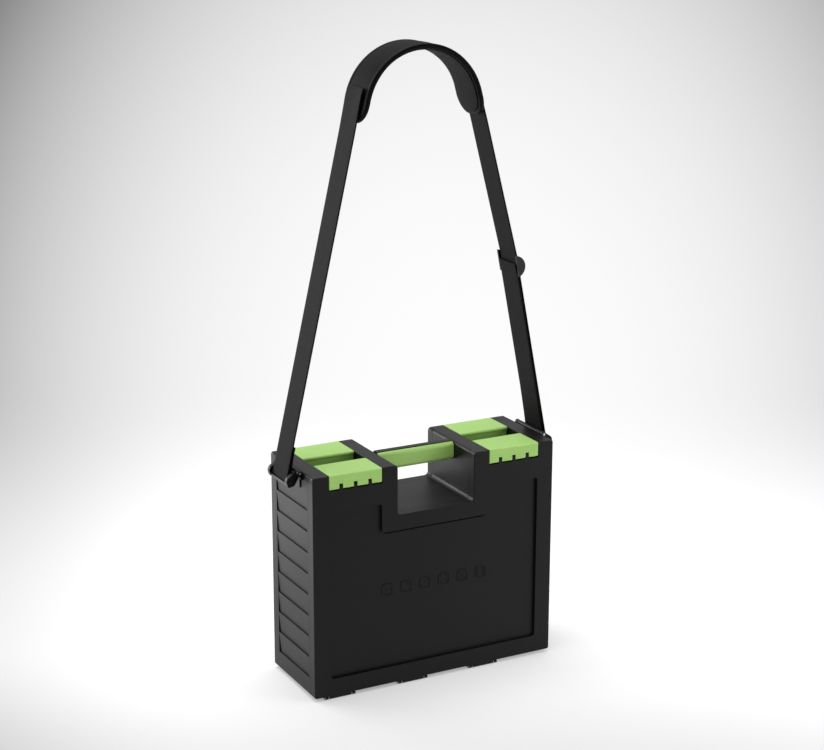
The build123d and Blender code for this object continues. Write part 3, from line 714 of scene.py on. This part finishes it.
def outline_walk():
    """Points once round the pad's outline: (along, across, inward along, inward across)."""
    points = []
    flat = pad_length - 2 * pad_tip_r
    end_flat = pad_half - pad_tip_r
    turns = 14
    steps = round(flat / cloth_pace)
    for side in (1, -1):
        for k in range(steps):
            dist = pad_tip_r + flat * k / steps
            points.append((dist if side > 0 else pad_length - dist, side * pad_half, 0, -side))
        for quarter in (0, 1):
            for k in range(turns):
                angle = (quarter + k / turns) * pi / 2
                mid = end_flat if quarter == 0 else -end_flat
                dist = pad_length - pad_tip_r + pad_tip_r * sin(angle)
                across = mid + pad_tip_r * cos(angle)
                points.append((dist if side > 0 else pad_length - dist, side * across,
                               -side * sin(angle), -side * cos(angle)))
    return points


# Binding, folded round the pad's edge
binding_in = 6.5 * mm
binding_t = pad_edge_t / 2 + 0.35 * mm
binding_turns = 14
binding_pace = 1.2 * mm
bm = bmesh.new()
uv = bm.loops.layers.uv.new("cloth")
walk = outline_walk()
shape = []
for k in range(binding_turns):
    angle = k / binding_turns * 2 * pi
    reach = (abs(cos(angle)) ** 0.7) * (1 if cos(angle) > 0 else -1)
    shape.append((binding_in / 2 - reach * binding_in / 2,
                  (abs(sin(angle)) ** 0.6) * (1 if sin(angle) > 0 else -1) * binding_t))
rows = []
far = 0.0
last = None
for dist, y, di, yi in walk + walk[:1]:
    spot = pad_spot(dist, y, 0)
    far += (spot - last).length if last is not None else 0
    last = spot
    rows.append((far, [pad_spot(dist + di * a, y + yi * a, b) for a, b in shape]))
verts = [[bm.verts.new(p) for p in row] for _, row in rows[:-1]]
verts.append(verts[0])
for i in range(len(rows) - 1):
    for k in range(len(shape)):
        n = (k + 1) % len(shape)
        face = bm.faces.new((verts[i][k], verts[i][n], verts[i + 1][n], verts[i + 1][k]))
        marks = ((k, rows[i][0]), (k + 1, rows[i][0]), (k + 1, rows[i + 1][0]), (k, rows[i + 1][0]))
        for loop, (col, at) in zip(face.loops, marks):
            loop[uv].uv = (col * binding_pace, at)
binding = finish_piece("pad_binding", bm, binding_cloth, 60)
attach(binding, "strap")


# Camera, from the fit of the case's corners in the photograph
cam_place = Vector((-1.04971, -1.97383, 0.99453))
cam_yaw, cam_pitch, cam_roll = radians(-27.959), radians(15.511), radians(0.111)
cam_focal_px, frame_px, sensor_w = 1905.111, 824, 36
back = Vector((sin(cam_yaw) * cos(cam_pitch), -cos(cam_yaw) * cos(cam_pitch), sin(cam_pitch)))
level = (-back).cross(Vector((0, 0, 1))).normalized()
rise = level.cross(-back)
right = level * cos(cam_roll) + rise * sin(cam_roll)
up = rise * cos(cam_roll) - level * sin(cam_roll)
cam_data = bpy.data.cameras.new("camera")
cam_data.sensor_width = sensor_w
cam_data.lens = cam_focal_px / frame_px * sensor_w
cam_data.clip_end = 50
cam = bpy.data.objects.new("camera", cam_data)
cam.matrix_world = Matrix((right, up, back)).transposed().to_4x4()
cam.matrix_world.translation = cam_place
bpy.context.scene.collection.objects.link(cam)
bpy.context.scene.camera = cam

# Floor: a wide sheet of white paper that fades into the surroundings at its rim
floor_reach = 3.0
floor_drop = 0.2 * mm
bpy.ops.object.select_all(action="DESELECT")
bpy.ops.mesh.primitive_circle_add(vertices=96, radius=floor_reach, fill_type="NGON",
                                  location=(0, 0, -floor_drop))
floor = bpy.context.object
floor.name = "studio_floor"
bpy.ops.object.transform_apply(location=True)


def seen_rays(p):
    """1 for camera, glossy and transmission rays, and 0 for the light that falls on the object."""
    rays = [p.node("LightPath", out=k) for k in ("Is Camera Ray", "Is Glossy Ray", "Is Transmission Ray")]
    return rays[0].most(rays[1]).most(rays[2])


def paper():
    """White paper with the case's shadow, and painted shade: it is dimmer towards the camera and at the
    left.

    Glossy faces see it paler at the left than the camera does: there the paper glows, a painted glow for
    the case's side faces to reflect."""
    p = new_paint("studio_paper")
    x, y, z = p.split(p.place())
    aside = x * cos(cam_yaw) + y * sin(cam_yaw)
    ahead = y * cos(cam_yaw) - x * sin(cam_yaw)
    # Painted shade: the paper is darker towards the camera and at the left
    near = (0.05 - ahead).step(0.0, 0.42)
    left = (0.0 - aside).step(0.2, 0.75)
    # Painted glow: glossy rays see the paper at the left up to four times white
    mirrored = p.node("LightPath", out="Is Glossy Ray") * (0.0 - aside).step(0.35, 0.6)
    dim = 1 - near * 0.3 - left * 0.4 + mirrored * 3.0
    # A glow of up to four times white, because a mix stops its factor at 1
    glow = p.node("Emission", inputs={"Color": p.mix(dim * 0.25, grey(0.0), grey(4.0)),
                                      "Strength": 0.34})
    # The painted shade darkens the lit paper too
    lit = p.node("BsdfDiffuse", inputs={"Color": p.mix(dim.least(1), grey(0.0), grey(0.7))})
    bounce = p.node("BsdfDiffuse", inputs={"Color": grey(0.8)})
    shown = p.node("AddShader", inputs={0: glow, 1: lit})
    sheet = p.node("MixShader", inputs={0: seen_rays(p), 1: bounce, 2: shown})
    clear = p.node("BsdfTransparent")
    rim = ahead.step(0.15, 1.3)
    far = ((x * x + y * y) ** 0.5).step(1.6, 2.8)
    return p.end(p.node("MixShader", inputs={0: rim.most(far), 1: sheet, 2: clear}))


floor.data.materials.append(paper())


def lamp(name, place, target, size, power):
    data = bpy.data.lights.new(name, "AREA")
    data.shape = "RECTANGLE"
    data.size, data.size_y = size
    data.energy = power
    made = bpy.data.objects.new(name, data)
    made.location = place
    made.rotation_euler = (Vector(place) - Vector(target)).to_track_quat("Z", "Y").to_euler()
    bpy.context.scene.collection.objects.link(made)


middle = (0, 0, 0.2)
lamp("lamp_top", (-0.2, 0.2, 2.4), middle, (1.8, 1.8), 43)
lamp("lamp_left", (-1.5, 1.9, 0.7), middle, (1.8, 1.2), 40)
lamp("lamp_right", (0.75, -0.8, 0.45), (0.1, 0, 0.2), (0.5, 0.5), 3.2)

# Surroundings: a pale glow behind the object that darkens slowly away from its middle
glow_middle_aside, glow_middle_up = 0.025, -0.29
glow_narrow_aside, glow_narrow_up = 9.8, 6.0
rim_level = 0.24
surround = Paint(bpy.data.worlds.new("studio"), "ShaderNodeOutputWorld")
dx, dy, dz = surround.split(surround.node("TexCoord", out="Generated"))
turn_aside = dx * cos(cam_yaw) + dy * sin(cam_yaw)
turn_ahead = dy * cos(cam_yaw) - dx * sin(cam_yaw)
glow_aside = turn_aside - glow_middle_aside
glow_up = dz - glow_middle_up
away = glow_aside * glow_aside * glow_narrow_aside + glow_up * glow_up * glow_narrow_up
behind = (1 - away.least(1) ** 1.4).most(rim_level)
# Outside the picture, where the glossy faces see it: pale behind and at the left, dim in front
studio = (turn_ahead.step(-0.5, 0.6) * 0.65 + 0.2) + (0 - turn_aside).step(0.2, 0.9) * 0.3
beyond = away.step(1.0, 1.8)
tone = behind * (1 - beyond) + studio * beyond
sky = surround.node("Background", inputs={"Color": surround.mix(tone, grey(0.0), grey(0.98)),
                                          "Strength": 1.0})
fill = surround.node("Background", inputs={"Color": grey(1.0), "Strength": 0.42})
bpy.context.scene.world = surround.end(surround.node("MixShader",
                                                     inputs={0: seen_rays(surround), 1: fill, 2: sky}))
bpy.context.scene.view_settings.view_transform = "Standard"
